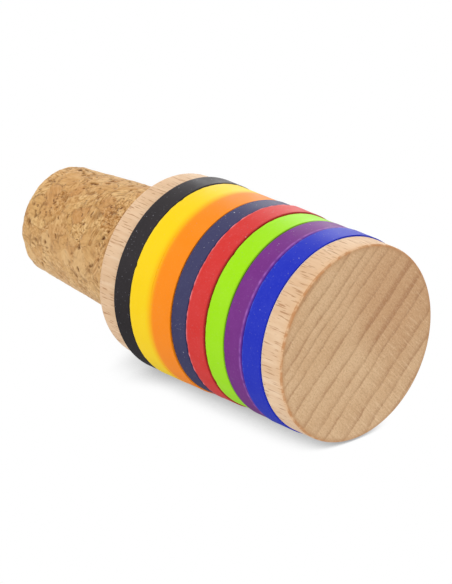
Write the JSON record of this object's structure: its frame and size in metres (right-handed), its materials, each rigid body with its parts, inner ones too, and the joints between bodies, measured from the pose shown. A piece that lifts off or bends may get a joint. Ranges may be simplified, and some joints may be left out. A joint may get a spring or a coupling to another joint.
{
  "type": "wooden bottle stopper",
  "caption": "Turned beech bottle stopper with a tapered cork and coloured silicone marker rings stretched into a recess round its body.",
  "frame": {"origin": "centre of the head's flat end face, which the stopper stands on", "axes": "+Z along the turning axis, from the head to the cork's tip; X and Y are any two square directions, because every piece is round"},
  "size_m": [0.0306, 0.0306, 0.0665],
  "materials": {
    "beech": "sanded, matte",
    "cork": "pressed granules, matte",
    "silicone_blue": "matte",
    "silicone_purple": "matte",
    "silicone_lime": "matte",
    "silicone_red": "matte",
    "silicone_navy": "matte",
    "silicone_orange": "matte",
    "silicone_yellow": "matte",
    "silicone_black": "matte"
  },
  "bodies": {
    "root": {"body": "beech", "cork": "cork", "ring_blue": "silicone_blue", "ring_purple": "silicone_purple", "ring_lime": "silicone_lime", "ring_red": "silicone_red", "ring_navy": "silicone_navy", "ring_orange": "silicone_orange", "ring_yellow": "silicone_yellow", "ring_black": "silicone_black"}
  },
  "joints": []
}
